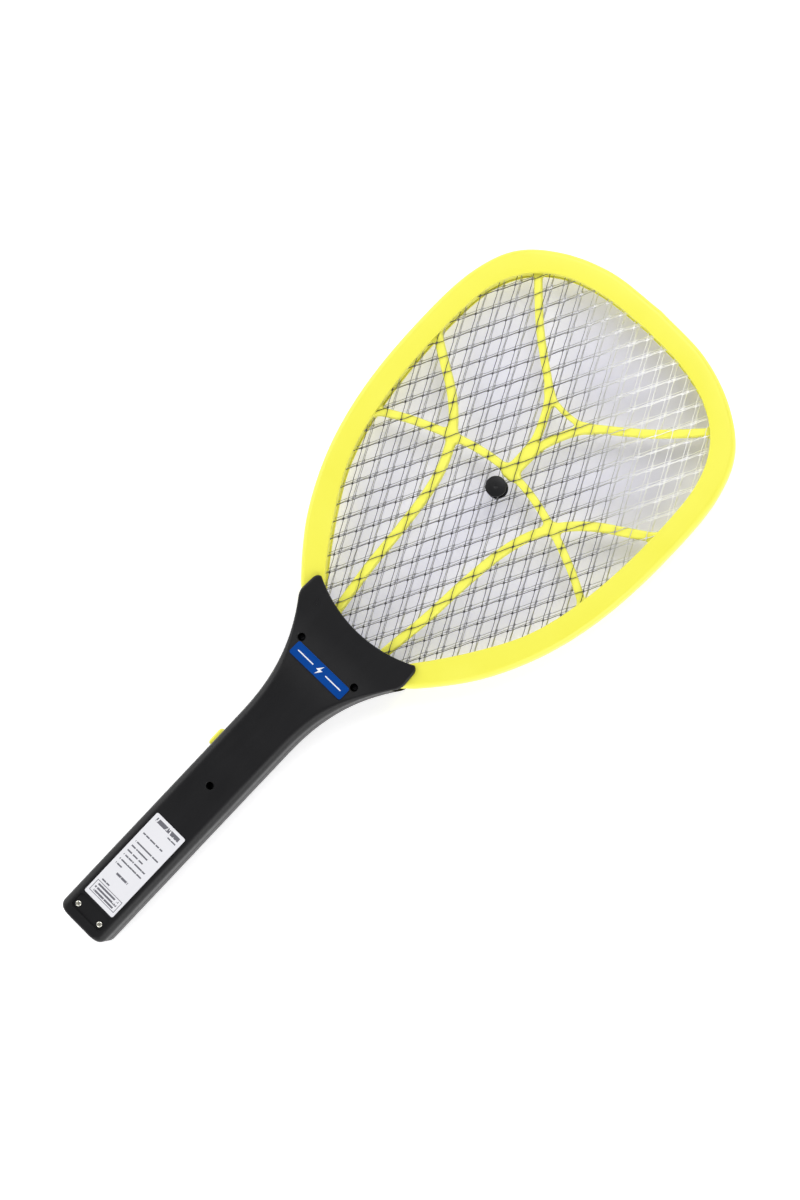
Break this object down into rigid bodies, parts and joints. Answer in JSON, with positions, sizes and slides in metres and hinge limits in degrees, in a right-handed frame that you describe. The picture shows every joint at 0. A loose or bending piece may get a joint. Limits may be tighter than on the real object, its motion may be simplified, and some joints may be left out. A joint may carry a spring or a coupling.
{
  "type": "electric fly swatter",
  "caption": "Racket-shaped electric fly swatter with layered metal nets in a yellow hoop and a black forked handle.",
  "frame": {"origin": "under the middle of the whole object, on the surface that its front face lies on", "axes": "+Y from the handle's end to the top of the head, +X across the head, away from the side button, +Z out of the back face"},
  "size_m": [0.205, 0.5, 0.028],
  "materials": {
    "yellow_plastic": "satin moulded",
    "black_plastic": "fine satin",
    "net_metal": "bright expanded strand",
    "zinc_steel": "zinc plated",
    "plated_brass": "nickel plated",
    "label_paper": "coated white film",
    "badge_blue": "gloss",
    "board_laminate": "bare laminate",
    "ferrite": "sintered",
    "winding_tape": "tape",
    "capacitor_red": "dipped",
    "capacitor_blue": "dipped",
    "epoxy_black": "moulded",
    "resistor_tan": "lacquered",
    "led_red": "clear",
    "battery_case": "moulded",
    "foam": "open cell",
    "lead_red": "insulated wire",
    "lead_black": "insulated wire"
  },
  "bodies": {
    "casing": {"back_net": "net_metal", "back_net_lead": "lead_black", "back_rib_frame": "yellow_plastic", "back_ring": "yellow_plastic", "back_shell": "black_plastic", "badge_plate": "badge_blue", "battery": "battery_case", "battery_lead_left": "lead_red", "battery_lead_right": "lead_red", "battery_pad": "foam", "bridge_rectifier": "epoxy_black", "button_spring": "zinc_steel", "centre_disc_back": "black_plastic", "centre_disc_front": "black_plastic", "centre_net": "net_metal", "centre_spacer_back": "black_plastic", "centre_spacer_front": "black_plastic", "charging_capacitor": "winding_tape", "circuit_board": "board_laminate", "contact_strip_left": "plated_brass", "contact_strip_right": "plated_brass", "end_screw_left": "zinc_steel", "end_screw_right": "zinc_steel", "front_net": "net_metal", "front_net_lead": "lead_black", "front_rib_frame": "yellow_plastic", "front_ring": "yellow_plastic", "front_shell": "black_plastic", "high_voltage_lead": "lead_red", "indicator_led": "led_red", "mains_lead_left": "lead_black", "mains_lead_right": "lead_black", "mid_screw": "zinc_steel", "multiplier_capacitor_1": "capacitor_blue", "multiplier_capacitor_2": "capacitor_blue", "multiplier_capacitor_3": "capacitor_blue", "multiplier_diode_1": "epoxy_black", "multiplier_diode_2": "epoxy_black", "multiplier_diode_3": "epoxy_black", "neck_screw_left": "zinc_steel", "neck_screw_right": "zinc_steel", "plug_guide": "black_plastic", "push_switch_body": "black_plastic", "rating_label": "label_paper", "resistor_1": "resistor_tan", "resistor_2": "resistor_tan", "resistor_3": "resistor_tan", "slide_switch_body": "zinc_steel", "storage_capacitor": "capacitor_red", "transformer_core": "ferrite", "transformer_winding": "winding_tape", "transistor": "epoxy_black"},
    "press_button": {"side_button": "yellow_plastic", "push_switch_plunger": "black_plastic"},
    "power_switch": {"power_slider": "black_plastic"},
    "charging_plug": {"plug_carriage": "black_plastic", "plug_pin_left": "plated_brass", "plug_pin_right": "plated_brass", "plug_thumb_slider": "black_plastic"}
  },
  "joints": [
    {"name": "button_press", "type": "slide", "parent": "casing", "child": "press_button", "axis": [1, 0, 0], "range_m": [0, 0.002], "stiffness_N_per_m": 800, "deforming": ["button_spring"]},
    {"name": "power_slide", "type": "slide", "parent": "casing", "child": "power_switch", "axis": [0, -1, 0], "range_m": [0, 0.004]},
    {"name": "plug_slide", "type": "slide", "parent": "casing", "child": "charging_plug", "axis": [0, -1, 0], "range_m": [0, 0.019]}
  ]
}
